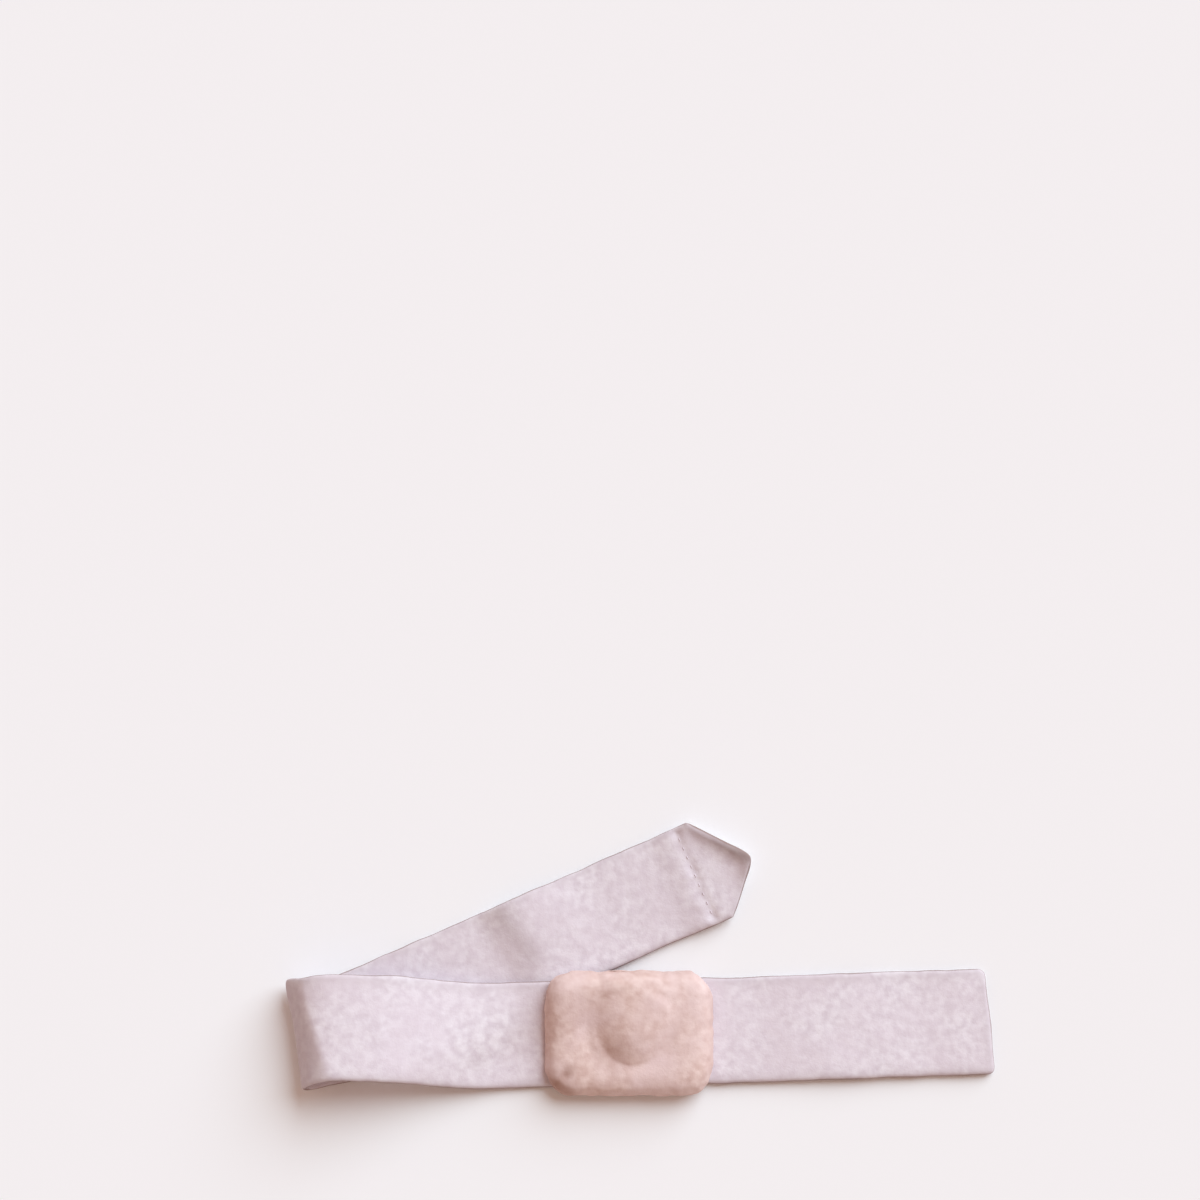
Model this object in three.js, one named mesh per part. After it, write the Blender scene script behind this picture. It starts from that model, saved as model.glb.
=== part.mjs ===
// An infant's umbilical hernia belt, laid on a flat surface.
// One soft pile-faced strap carries a cushioned pad with a round boss. Its square end points right.
// At the left the strap folds under in a loose loop, and its tail comes out at an angle, up and to the right,
// to a pointed tip with a hook patch sewn beneath it.
import * as THREE from "three";

// Driving sizes, in millimetres and degrees.
const STRAP_WIDTH = 40;
const STRAP_THICKNESS = 3;
const STRAP_EDGE = 2.2; // the strip along each edge over which the strap thins away
const SEAM_GAP = 0.3; // clearance between pieces that lie on each other

const FRONT_LENGTH = 251.2; // from the square end to the start of the fold
const END_CORNER = 3.2;
const END_SLANT = 1.1; // how far the lower corner of the square end leads its middle
const FOLD_DEPTH = 12.6; // how far the middle of the strap runs out past the start of the fold
const FOLD_HEIGHT = 20;
const FOLD_DRIFT = 3.4; // how far the lower layer lies below the upper one, seen from above
const FOLD_SLOPE = 74; // length over which the upper layer comes down from the fold
const OVERLAP_SLOPE = 18; // width over which the upper layer comes down beside the tail

const TAIL_ANGLE = 23.5; // between the tail and the front
const TAIL_LENGTH = 156.8; // from the end of the fold to the shoulders of the tip
const TIP_LENGTH = 16.6; // from the shoulders to the point
const TIP_SLANT = 1.1; // how far the lower shoulder leads the middle between the two
const TIP_SKEW = 1.8; // how far the point lies to the lower side of the middle
const RIPPLE_HEIGHT = 3.6; // at the upper edge of the tail
const RIPPLE_PLACE = 66; // from the end of the fold to the foot of the ripple
const RIPPLE_RISE = 15;
const RIPPLE_FALL = 34;
const RIPPLE_SLANT = 5; // how much further along its foot is at the lower edge than at the upper
const RIPPLE_FADE = 0.3; // share of its height that is left at the lower edge
const LIP_HEIGHT = 4.4; // curl of the tip's upper border, at the point
const LIP_WIDTH = 9.5;
const LIP_CURL = 1.7; // power of the curl: 1 is a straight slope, and more turns up later
const LIP_START = 0.55; // share of the lip's height and width that it has at the upper shoulder

const PAD_LENGTH = 65.6;
const PAD_WIDTH = 48;
const PAD_THICKNESS = 8.6;
const PAD_CORNER = 11.5;
const PAD_RIM = 8; // the strip over which the pad's top rounds down into its side
const PAD_FROM_END = 138.2; // from the square end to the middle of the pad
const PAD_DIP = 0.7; // hollow of the pad's top round its boss
const BOSS_RADIUS = 13;
const BOSS_HEIGHT = 4.8;
const BOSS_ALONG = 1.2; // from the middle of the pad towards the square end
const BOSS_ACROSS = 0.9; // from the middle of the pad towards the tail
const BOSS_LEAN_BACK = 2.2; // from the middle of its foot to its top, away from the square end
const BOSS_LEAN_ASIDE = 3.2; // from the middle of its foot to its top, away from the tail
const BOSS_SWELL = 1.15; // power of its rise: 1 meets the pad at a crease, and more at a soft hollow

const PATCH_LENGTH = 21; // from its straight inner edge to its point
const PATCH_THICKNESS = 1.2;
const PATCH_MARGIN = 2.2; // strap left bare round the patch
const PATCH_EDGE = 0.5;
const PATCH_RAMP = 12; // length over which the strap climbs on to the patch

const END_DRAW = 13; // length over which the rows straighten behind the square end
const TIP_DRAW = 32; // length over which the rows bend forward into the tip
const TIP_BLUNT = 0.06; // share of the half width over which the point is rounded

// Sideways bows of the front, from the square end to the fold:
// along is a share of the front's length, side a share of the strap's width.
const FRONT_BOWS = [
  { along: 0.0, side: 0.112 },
  { along: 0.2, side: 0.072 },
  { along: 0.395, side: 0.028 },
  { along: 0.548, side: 0.01 },
  { along: 0.683, side: -0.01 },
  { along: 0.789, side: -0.022 },
  { along: 0.895, side: 0.04 },
  { along: 1.0, side: 0.064 },
];

// The pad's side, from its underside to its top:
// inset is a share of the rim, rise a share of the pad's thickness.
const PAD_SIDE = [
  { inset: 0.36, rise: 0.0 },
  { inset: 0.08, rise: 0.07 },
  { inset: 0.0, rise: 0.2 },
  { inset: 0.1, rise: 0.42 },
  { inset: 0.28, rise: 0.68 },
  { inset: 0.54, rise: 0.91 },
  { inset: 1.0, rise: 1.0 },
];

// How finely the pieces are divided.
const FRONT_ROWS = 52;
const FOLD_ROWS = 18;
const RELAXED_ROWS = 4; // rows on each side of the fold that are smoothed with it
const RELAX_PASSES = 6;
const TAIL_ROWS = 42;
const PATCH_ROWS = 10;
const EDGE_STEPS = [0, 0.17, 0.5, 1]; // shares of a thinned edge
const ACROSS_STEPS = [0, 0.14, 0.4, 0.7, 1]; // shares of the way from the middle to a thinned edge
const PAD_POINTS_PER_CORNER = 7;
const PAD_POINTS_PER_SIDE = 5;
const PAD_TOP_RINGS = 3;
const PAD_BASE_RINGS = 6;
const BOSS_RINGS = 6;

const HALF_WIDTH = STRAP_WIDTH / 2;
const HALF_THICKNESS = STRAP_THICKNESS / 2;
const TAIL_TURN = THREE.MathUtils.degToRad(TAIL_ANGLE);
const QUARTER_TURN = Math.PI / 2;
const PATCH_INSET = PATCH_MARGIN * Math.hypot(1, TIP_LENGTH / HALF_WIDTH);
const PATCH_START = TAIL_LENGTH + TIP_LENGTH - PATCH_INSET - PATCH_LENGTH;

const { clamp, lerp, smoothstep } = THREE.MathUtils;

// Share of the full thickness at a distance from an edge, for a half-round edge of the given width.
function edgeShare(distance, edge) {
  const reach = clamp(distance / edge, 0, 1);
  return Math.sqrt(1 - (1 - reach) ** 2);
}

// Distances that crowd together at both ends of a length, where the edges are rounded.
function crowdedSteps(length, edge, middleSteps) {
  const border = EDGE_STEPS.map((share) => share * edge);
  const middle = [];
  for (let step = 1; step < middleSteps; step += 1) {
    middle.push(lerp(edge, length - edge, step / middleSteps));
  }
  return [...border, ...middle, ...border.map((distance) => length - distance).reverse()];
}

// Middle line of the front, seen from above, from the square end to the start of the fold.
const frontLine = new THREE.CatmullRomCurve3(
  FRONT_BOWS.map(
    ({ along, side }) => new THREE.Vector3(PAD_FROM_END - along * FRONT_LENGTH, side * STRAP_WIDTH, 0),
  ),
);
const foldStart = frontLine.getPointAt(1);
const foldHeading = frontLine.getTangentAt(1);
const tailStart = new THREE.Vector3(foldStart.x, foldStart.y - FOLD_DRIFT, 0);
const tailAlong = new THREE.Vector3(Math.cos(TAIL_TURN), Math.sin(TAIL_TURN), 0);
const tailAcross = new THREE.Vector3(-Math.sin(TAIL_TURN), Math.cos(TAIL_TURN), 0);

// Place of a point seen from above as distances along and across the tail.
function onTail(x, y) {
  const offset = new THREE.Vector3(x, y, 0).sub(tailStart);
  return { along: offset.dot(tailAlong), across: offset.dot(tailAcross) };
}

// Height of the soft ripple that runs across the tail, strongest at its upper edge.
function rippleHeight(along, across) {
  const share = clamp(across / STRAP_WIDTH + 0.5, 0, 1);
  const foot = RIPPLE_PLACE + RIPPLE_SLANT * (1 - share);
  const crest = foot + RIPPLE_RISE;
  const rise = smoothstep(along, foot, crest);
  const fall = 1 - smoothstep(along, crest, crest + RIPPLE_FALL);
  return RIPPLE_HEIGHT * lerp(RIPPLE_FADE, 1, share) * rise * fall;
}

// How far the front is carried up by the tail that lies beneath it, and beside that tail.
function overlapLift(x, y) {
  const { along, across } = onTail(x, y);
  const cover = smoothstep(across + HALF_WIDTH, -OVERLAP_SLOPE, 0);
  return cover * (STRAP_THICKNESS + SEAM_GAP + rippleHeight(along, across));
}

// How far the front still stands above its resting height as it comes down from the fold.
function foldLift(x) {
  const fullLift = FOLD_HEIGHT - 2 * STRAP_THICKNESS - SEAM_GAP;
  return fullLift * (1 - smoothstep(x, foldStart.x, foldStart.x + FOLD_SLOPE));
}

// Height of the front's upper face, which the pad lies on.
function frontTop(x, y) {
  return STRAP_THICKNESS + overlapLift(x, y) + foldLift(x);
}

// How far the tip's end lies past the shoulders, at a distance to the upper side of the middle.
function tipReach(across) {
  const blunted = (share) => Math.hypot(share, TIP_BLUNT) - TIP_BLUNT;
  return TIP_LENGTH * (1 - blunted(across / HALF_WIDTH) / blunted(1)) - TIP_SLANT * (across / HALF_WIDTH);
}

// How far the square end falls short of its full length, with rounded corners and a slight slant.
function endShortfall(across) {
  const intoCorner = Math.max(0, Math.abs(across) - (HALF_WIDTH - END_CORNER));
  const corner = END_CORNER - Math.sqrt(END_CORNER ** 2 - intoCorner ** 2);
  return corner + END_SLANT * (1 + across / HALF_WIDTH);
}

// How far the tip stands above the rest of the tail: the climb on to the patch and the curled lip.
function tipLift(along, across) {
  const climb = (PATCH_THICKNESS + SEAM_GAP) * smoothstep(along, PATCH_START - PATCH_RAMP, PATCH_START);
  const towardsPoint = 1 - Math.abs(across) / HALF_WIDTH;
  const upperSide = smoothstep(across, -HALF_WIDTH / 2, 0);
  const width = LIP_WIDTH * lerp(LIP_START, 1, towardsPoint);
  const intoLip = 1 - clamp((TAIL_LENGTH + tipReach(across) - along) / width, 0, 1);
  return climb + LIP_HEIGHT * lerp(LIP_START, 1, towardsPoint) * upperSide * intoLip ** LIP_CURL;
}

// A point of the middle layer on the tail, from distances along and across it.
function tailPoint(along, across) {
  const towardsPoint = smoothstep(along, TAIL_LENGTH - HALF_WIDTH, TAIL_LENGTH + TIP_LENGTH);
  const side = across - TIP_SKEW * (1 - (across / HALF_WIDTH) ** 2) * towardsPoint;
  const point = tailStart.clone().addScaledVector(tailAlong, along).addScaledVector(tailAcross, side);
  point.z = HALF_THICKNESS + rippleHeight(along, side) + tipLift(along, across);
  return point;
}

// A point of the strap's middle layer on the front run; along is measured from the square end.
function frontPoint(along, across) {
  const held = 1 - smoothstep(along, STRAP_EDGE, STRAP_EDGE + END_DRAW);
  const place = along + endShortfall(across) * held;
  const share = clamp(place / frontLine.getLength(), 0, 1);
  const point = frontLine.getPointAt(share);
  const heading = frontLine.getTangentAt(share);
  point.x += across * heading.y;
  point.y -= across * heading.x;
  point.z = HALF_THICKNESS + overlapLift(point.x, point.y) + foldLift(point.x);
  return point;
}

// A point of the middle layer round the fold; turn runs from 0 on the front to half a turn on the tail.
function foldPoint(turn, across) {
  const frontSide = Math.atan2(foldHeading.y, foldHeading.x) - QUARTER_TURN;
  const tailSide = TAIL_TURN + QUARTER_TURN;
  const side = lerp(frontSide, tailSide, smoothstep(turn, 0, Math.PI));
  const halfHeight = (FOLD_HEIGHT - STRAP_THICKNESS) / 2;
  return new THREE.Vector3(
    foldStart.x - FOLD_DEPTH * Math.sin(turn) + across * Math.cos(side),
    foldStart.y - FOLD_DRIFT * (1 - Math.cos(turn / 2) ** 6) + across * Math.sin(side),
    HALF_THICKNESS + halfHeight * (1 + Math.cos(turn)),
  );
}

// A point on one of the tail's rows, which bend forward from straight ones into the outline of the tip.
function tailRowPoint(row, across) {
  const drawn = smoothstep(row, TAIL_LENGTH - TIP_DRAW, TAIL_LENGTH - STRAP_EDGE);
  return tailPoint(row + tipReach(across) * drawn, across);
}

// Softens the plan of the fold where it runs into the front and the tail, row by row.
function relaxRows(rows, first, last) {
  let relaxed = rows;
  for (let pass = 0; pass < RELAX_PASSES; pass += 1) {
    relaxed = relaxed.map((row, index) => {
      if (index <= first || index >= last) {
        return row;
      }
      const before = relaxed[index - 1];
      const after = relaxed[index + 1];
      return row.map((point, column) =>
        point.clone().multiplyScalar(2).add(before[column]).add(after[column]).divideScalar(4),
      );
    });
  }
  return relaxed;
}

// Direction square to a grid of points at one of them.
function layerNormal(rows, row, column) {
  const before = rows[Math.max(row - 1, 0)][column];
  const after = rows[Math.min(row + 1, rows.length - 1)][column];
  const lower = rows[row][Math.max(column - 1, 0)];
  const upper = rows[row][Math.min(column + 1, rows[row].length - 1)];
  return after.clone().sub(before).cross(upper.clone().sub(lower)).normalize();
}

// Turns a grid of middle-layer points into a closed solid that thins away to nothing along its border.
function solidFromLayer(rows, halfThickness) {
  const lastRow = rows.length - 1;
  const lastColumn = rows[0].length - 1;
  const vertices = [];
  const index = [];
  const addVertex = (point) => vertices.push(point.x, point.y, point.z) / 3 - 1;
  const onBorder = (row, column) => row === 0 || column === 0 || row === lastRow || column === lastColumn;

  const inner = [];
  const outer = [];
  rows.forEach((points, row) => {
    inner.push([]);
    outer.push([]);
    points.forEach((point, column) => {
      if (onBorder(row, column)) {
        const shared = addVertex(point);
        inner[row].push(shared);
        outer[row].push(shared);
        return;
      }
      const offset = layerNormal(rows, row, column).multiplyScalar(halfThickness(row, column));
      inner[row].push(addVertex(point.clone().add(offset)));
      outer[row].push(addVertex(point.clone().sub(offset)));
    });
  });

  for (let row = 0; row < lastRow; row += 1) {
    for (let column = 0; column < lastColumn; column += 1) {
      const leaning = row < lastRow / 2 === column < lastColumn / 2;
      for (const [side, flipped] of [[inner, false], [outer, true]]) {
        const a = side[row][column];
        const b = side[row + 1][column];
        const c = side[row + 1][column + 1];
        const d = side[row][column + 1];
        const faces = leaning ? [[a, b, c], [a, c, d]] : [[a, b, d], [b, c, d]];
        faces.forEach((face) => index.push(...(flipped ? face.reverse() : face)));
      }
    }
  }
  return geometryFrom(vertices, index);
}

function geometryFrom(vertices, index) {
  const geometry = new THREE.BufferGeometry();
  geometry.setAttribute("position", new THREE.Float32BufferAttribute(vertices, 3));
  geometry.setIndex(index);
  geometry.computeVertexNormals();
  return geometry;
}

// Distances across a strip from its lower edge to its upper one.
function acrossSteps(halfWidth, edge) {
  const inner = ACROSS_STEPS.map((share) => share * (halfWidth - edge));
  const border = EDGE_STEPS.slice(0, -1).map((share) => halfWidth - share * edge).reverse();
  const upper = [...inner, ...border];
  return [...upper.slice(1).map((distance) => -distance).reverse(), ...upper];
}

function strapGeometry() {
  const columns = acrossSteps(HALF_WIDTH, STRAP_EDGE);
  const frontReach = frontLine.getLength();
  const frontSteps = crowdedSteps(frontReach + STRAP_EDGE, STRAP_EDGE, FRONT_ROWS)
    .filter((along) => along < frontReach * (1 - 0.5 / FRONT_ROWS));
  const tailSteps = crowdedSteps(TAIL_LENGTH, STRAP_EDGE, TAIL_ROWS)
    .filter((along) => along === 0 || along > STRAP_EDGE);
  const foldTurns = [];
  for (let row = 0; row < FOLD_ROWS; row += 1) {
    foldTurns.push((Math.PI * row) / FOLD_ROWS);
  }

  const rows = [
    ...frontSteps.map((along) => columns.map((across) => frontPoint(along, across))),
    ...foldTurns.map((turn) => columns.map((across) => foldPoint(turn, across))),
    ...tailSteps.map((row) => columns.map((across) => tailRowPoint(row, across))),
  ];
  const foldRow = frontSteps.length;
  const relaxed = relaxRows(rows, foldRow - RELAXED_ROWS, foldRow + FOLD_ROWS + RELAXED_ROWS);

  const endShares = [
    ...frontSteps.map((along) => edgeShare(along, STRAP_EDGE)),
    ...foldTurns.map(() => 1),
    ...tailSteps.map((row) => edgeShare(TAIL_LENGTH - row, STRAP_EDGE)),
  ];
  const sideShares = columns.map((across) => edgeShare(HALF_WIDTH - Math.abs(across), STRAP_EDGE));
  return solidFromLayer(relaxed, (row, column) => HALF_THICKNESS * endShares[row] * sideShares[column]);
}

// The patch repeats the strap's tip within its margin and lies against its underside.
function patchGeometry() {
  const halfWidth = HALF_WIDTH - PATCH_MARGIN;
  const columns = acrossSteps(halfWidth, PATCH_EDGE);
  const steps = crowdedSteps(1, PATCH_EDGE / PATCH_LENGTH, PATCH_ROWS);
  const below = HALF_THICKNESS + SEAM_GAP + PATCH_THICKNESS / 2;

  const carrier = steps.map((share) =>
    columns.map((across) => {
      const end = TAIL_LENGTH + tipReach(across) - PATCH_INSET;
      return tailPoint(lerp(PATCH_START, end, share), across);
    }),
  );
  const rows = carrier.map((points, row) =>
    points.map((point, column) => point.clone().addScaledVector(layerNormal(carrier, row, column), -below)),
  );
  const endShares = steps.map((share) => edgeShare(Math.min(share, 1 - share) * PATCH_LENGTH, PATCH_EDGE));
  const sideShares = columns.map((across) => edgeShare(halfWidth - Math.abs(across), PATCH_EDGE));
  return solidFromLayer(rows, (row, column) => (PATCH_THICKNESS / 2) * endShares[row] * sideShares[column]);
}

// Directions round the pad, each with the corner that it belongs to and its place between corners.
function padOutline(inset) {
  const radius = PAD_CORNER - inset;
  const coreX = PAD_LENGTH / 2 - PAD_CORNER;
  const coreY = PAD_WIDTH / 2 - PAD_CORNER;
  const corners = [[1, 1], [-1, 1], [-1, -1], [1, -1]];
  const points = [];
  corners.forEach(([signX, signY], corner) => {
    const [nextX, nextY] = corners[(corner + 1) % corners.length];
    for (let step = 0; step < PAD_POINTS_PER_CORNER; step += 1) {
      const turn = QUARTER_TURN * (corner + step / (PAD_POINTS_PER_CORNER - 1));
      points.push([signX * coreX + radius * Math.cos(turn), signY * coreY + radius * Math.sin(turn)]);
    }
    const turn = QUARTER_TURN * (corner + 1);
    for (let step = 1; step < PAD_POINTS_PER_SIDE; step += 1) {
      const share = step / PAD_POINTS_PER_SIDE;
      points.push([
        lerp(signX, nextX, share) * coreX + radius * Math.cos(turn),
        lerp(signY, nextY, share) * coreY + radius * Math.sin(turn),
      ]);
    }
  });
  return points;
}

// The pad: an underside that follows the strap, rounded sides, and a top that dips round a domed boss.
function padGeometry() {
  const middle = frontLine.getPointAt(clamp(PAD_FROM_END / frontLine.getLength(), 0, 1));
  const baseHeight = (x, y) => frontTop(middle.x + x, middle.y + y) + SEAM_GAP;
  const ringAt = (points, rise) => points.map(([x, y]) => [x, y, baseHeight(x, y) + rise]);
  const underside = padOutline(PAD_SIDE[0].inset * PAD_RIM);
  const shoulder = padOutline(PAD_RIM);
  const bossTop = { x: BOSS_ALONG - BOSS_LEAN_BACK, y: BOSS_ACROSS - BOSS_LEAN_ASIDE };
  const foot = shoulder.map(([x, y]) => {
    const turn = Math.atan2(y - BOSS_ACROSS, x - BOSS_ALONG);
    return [BOSS_ALONG + BOSS_RADIUS * Math.cos(turn), BOSS_ACROSS + BOSS_RADIUS * Math.sin(turn)];
  });

  const rings = [];
  for (let ring = 1; ring < PAD_BASE_RINGS; ring += 1) {
    const share = ring / PAD_BASE_RINGS;
    rings.push(ringAt(underside.map(([x, y]) => [x * share, y * share]), 0));
  }
  PAD_SIDE.forEach(({ inset, rise }) => {
    rings.push(ringAt(padOutline(inset * PAD_RIM), rise * PAD_THICKNESS));
  });
  for (let ring = 1; ring <= PAD_TOP_RINGS; ring += 1) {
    const share = ring / PAD_TOP_RINGS;
    const between = shoulder.map(([x, y], point) => {
      const [footX, footY] = foot[point];
      return [lerp(x, footX, share), lerp(y, footY, share)];
    });
    rings.push(ringAt(between, PAD_THICKNESS - PAD_DIP * smoothstep(share, 0, 1)));
  }
  for (let ring = 1; ring < BOSS_RINGS; ring += 1) {
    const share = 1 - ring / BOSS_RINGS;
    const circle = foot.map(([x, y]) => [lerp(bossTop.x, x, share), lerp(bossTop.y, y, share)]);
    rings.push(ringAt(circle, PAD_THICKNESS - PAD_DIP + BOSS_HEIGHT * (1 - share ** 2) ** BOSS_SWELL));
  }

  const vertices = [0, 0, baseHeight(0, 0)];
  rings.flat().forEach((point) => vertices.push(...point));
  const bossHeight = baseHeight(bossTop.x, bossTop.y) + PAD_THICKNESS - PAD_DIP + BOSS_HEIGHT;
  vertices.push(bossTop.x, bossTop.y, bossHeight);

  const count = underside.length;
  const top = vertices.length / 3 - 1;
  const at = (ring, point) => 1 + ring * count + (point % count);
  const index = [];
  for (let point = 0; point < count; point += 1) {
    index.push(0, at(0, point + 1), at(0, point));
    index.push(top, at(rings.length - 1, point), at(rings.length - 1, point + 1));
    for (let ring = 0; ring < rings.length - 1; ring += 1) {
      const [a, b] = [at(ring, point), at(ring, point + 1)];
      const [c, d] = [at(ring + 1, point + 1), at(ring + 1, point)];
      index.push(a, b, c, a, c, d);
    }
  }
  return { geometry: geometryFrom(vertices, index), middle };
}

function named(name, geometry, colour, roughness) {
  const material = new THREE.MeshStandardMaterial({ color: colour, roughness, metalness: 0 });
  const mesh = new THREE.Mesh(geometry, material);
  mesh.name = name;
  return mesh;
}

const pad = padGeometry();
const padMesh = named("pad", pad.geometry, "#dabdb6", 0.95);
padMesh.position.set(pad.middle.x, pad.middle.y, 0);

const belt = new THREE.Group();
belt.add(named("belt_strap", strapGeometry(), "#e4d8df", 0.97));
belt.add(padMesh);
belt.add(named("hook_patch", patchGeometry(), "#e8e4e3", 0.6));

// The origin is the middle of the belt's footprint, on the surface that it lies on.
belt.updateMatrixWorld(true);
const extent = new THREE.Box3().setFromObject(belt);
const footprint = extent.getCenter(new THREE.Vector3());
belt.position.set(-footprint.x, -footprint.y, -extent.min.z);

export default belt;
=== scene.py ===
"""Dresses an infant's umbilical hernia belt, lying flat and seen from above.

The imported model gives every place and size. The strap is refined into brushed loop pile, the pad is
inflated as a sewn cushion and felted, and the hook patch gets its tape, its hooks and its stitches.
"""

import logging
import math
from dataclasses import dataclass, field
from enum import Enum
from typing import Any, Iterable, Sequence

import bmesh
import bpy
import numpy as np
from mathutils import Matrix, Vector, noise
from mathutils.bvhtree import BVHTree
from mathutils.kdtree import KDTree


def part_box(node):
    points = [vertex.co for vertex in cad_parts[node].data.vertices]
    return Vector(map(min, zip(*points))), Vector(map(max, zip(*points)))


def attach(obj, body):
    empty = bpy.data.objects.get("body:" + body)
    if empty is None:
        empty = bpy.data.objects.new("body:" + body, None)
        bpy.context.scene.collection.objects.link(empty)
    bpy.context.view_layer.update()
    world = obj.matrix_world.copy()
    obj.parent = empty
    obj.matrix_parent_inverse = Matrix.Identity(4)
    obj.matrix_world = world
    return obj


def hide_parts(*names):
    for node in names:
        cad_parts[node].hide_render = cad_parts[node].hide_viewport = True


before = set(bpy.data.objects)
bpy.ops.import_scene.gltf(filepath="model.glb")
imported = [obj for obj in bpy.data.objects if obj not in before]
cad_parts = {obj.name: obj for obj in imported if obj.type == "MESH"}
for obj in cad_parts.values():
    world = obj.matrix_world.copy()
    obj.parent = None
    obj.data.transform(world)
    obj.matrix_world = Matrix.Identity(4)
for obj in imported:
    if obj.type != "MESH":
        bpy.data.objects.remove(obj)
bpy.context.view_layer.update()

LOG = logging.getLogger("hernia_belt")
MM = 0.001
ROOT = "root"
SHADE_AND_EDGE_LAYER = "painted_shade_and_cut_edge"  # how much painted shade, and on the strap how much of the cut edges' darker tone, the cloth gets at a point, from 0 to 1
CLEAR_OF_BELT = 40 * MM  # a ray that starts this far above or below the table meets nothing before the belt

STRAP_WIDTH = 40 * MM
TAIL_TURN = math.radians(23.5)
TAIL_FACE = (-6 * MM, -3 * MM)  # in Y: the front shows below the first, and the tail above the second


class Relief(Enum):
    """How the face of a cloth stands up: rows of (width of a tuft, height), both in mm."""

    BRUSHED_LOOP = ((15.0, 0.18), (3.4, 0.08), (1.6, 0.035))
    FELTED_PLUSH = ((9.0, 0.1), (3.3, 0.08), (1.6, 0.04))


class HookRow(Enum):
    """Which way the hooks of alternate rows of the tape lean."""

    FORWARD = 1
    BACKWARD = -1


class Face(Enum):
    """The face of a cloth that stitches lie on."""

    UPPER = 1
    LOWER = -1


def linear(hex_colour: str) -> tuple[float, float, float, float]:
    """Turns an sRGB hex colour into linear light.

    Args:
        hex_colour: Six hex digits after a hash sign.

    Returns:
        Red, green, blue and an alpha of one.
    """
    channels = [int(hex_colour[place : place + 2], 16) / 255 for place in (1, 3, 5)]
    light = [c / 12.92 if c <= 0.04045 else ((c + 0.055) / 1.055) ** 2.4 for c in channels]
    return (*light, 1.0)


def add_node(tree: bpy.types.NodeTree, kind: str, inputs: dict[Any, Any], **settings: Any) -> bpy.types.Node:
    """Adds one node to a material or world.

    Args:
        tree: The node tree.
        kind: Blender's name for the type of node.
        inputs: For each input, by name or number, the socket that feeds it or its plain value.
        **settings: Properties of the node itself.

    Returns:
        The new node.
    """
    node = tree.nodes.new(kind)
    for key, value in settings.items():
        setattr(node, key, value)
    for key, value in inputs.items():
        if isinstance(value, bpy.types.NodeSocket):
            tree.links.new(value, node.inputs[key])
        else:
            node.inputs[key].default_value = value
    return node


def blank_material(name: str) -> tuple[bpy.types.Material, bpy.types.NodeTree]:
    """Makes a material with an empty node tree.

    Args:
        name: The new material's name.

    Returns:
        The material and its node tree.
    """
    material = bpy.data.materials.new(name)
    material.use_nodes = True
    material.node_tree.nodes.clear()
    return material, material.node_tree


@dataclass(frozen=True)
class PileFinish:
    """Polyester pile, knitted in loops and then brushed or felted.

    To the eye it is quite matt, with no thread to be seen: light goes a little way into the pile, so it is
    mottled where tufts part, and it pales where it is seen from the side.
    """

    name: str
    tip_hex: str
    root_hex: str
    cloud_hex: str
    # the tone mixed in by that attribute: painted shade, and the strap's darker cut edges
    shade_and_edge_hex: str
    tuft_mm: float  # the width over which the pile draws together
    fibre_mm: float  # a real fibre is 0.02 mm, drawn as bundles that are coarse enough to show
    cloud_mm: float  # the width of the patches where handling has turned the pile
    fibre_height_mm: float
    sheen: float
    sheen_hex: str
    tuft_range: tuple[float, float] = (0.32, 0.66)  # of the pattern, from the pile's root to its tip
    cloud_range: tuple[float, float] = (0.35, 0.8)

    def make(self) -> bpy.types.Material:
        """Builds the material.

        Returns:
            The finished material, its patterns sized in object space.
        """
        material, tree = blank_material(self.name)
        place = add_node(tree, "ShaderNodeTexCoord", {}).outputs["Object"]
        # Each pattern's row gives the width of its blobs, its detail and its roughness.
        tuft, cloud, fibre = (
            add_node(
                tree,
                "ShaderNodeTexNoise",
                {"Vector": place, "Scale": 1 / (size_mm * MM), "Detail": detail, "Roughness": rough},
            ).outputs[0]
            for size_mm, detail, rough in (
                (self.tuft_mm, 1.3, 0.5),
                (self.cloud_mm, 2.0, 0.5),
                (self.fibre_mm, 4.0, 0.7),
            )
        )
        depth, drift = (
            add_node(tree, "ShaderNodeMapRange", {"Value": value, "From Min": low, "From Max": high})
            for value, (low, high) in ((tuft, self.tuft_range), (cloud, self.cloud_range))
        )
        # Painted shade, and the darker tone of the strap's cut edges, are mixed in last, by the attribute.
        painted_shade_share = add_node(tree, "ShaderNodeAttribute", {}, attribute_name=SHADE_AND_EDGE_LAYER)
        colour: Any = linear(self.root_hex)
        for share, tone_hex in (
            (depth.outputs[0], self.tip_hex),
            (drift.outputs[0], self.cloud_hex),
            (painted_shade_share.outputs["Fac"], self.shade_and_edge_hex),
        ):
            inputs = {"Factor": share, 6: colour, 7: linear(tone_hex)}
            colour = add_node(tree, "ShaderNodeMix", inputs, data_type="RGBA").outputs[2]
        fuzz = add_node(
            tree,
            "ShaderNodeBump",
            {"Height": fibre, "Strength": 0.55, "Distance": self.fibre_height_mm * MM},
        )
        cloth = add_node(
            tree,
            "ShaderNodeBsdfPrincipled",
            {
                "Base Color": colour,
                "Roughness": 0.96,
                "IOR": 1.45,
                "Specular IOR Level": 0.2,
                "Sheen Weight": self.sheen,
                "Sheen Roughness": 0.55,
                "Sheen Tint": linear(self.sheen_hex),
                "Normal": fuzz.outputs[0],
            },
        )
        add_node(tree, "ShaderNodeOutputMaterial", {"Surface": cloth.outputs[0]})
        return material


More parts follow.
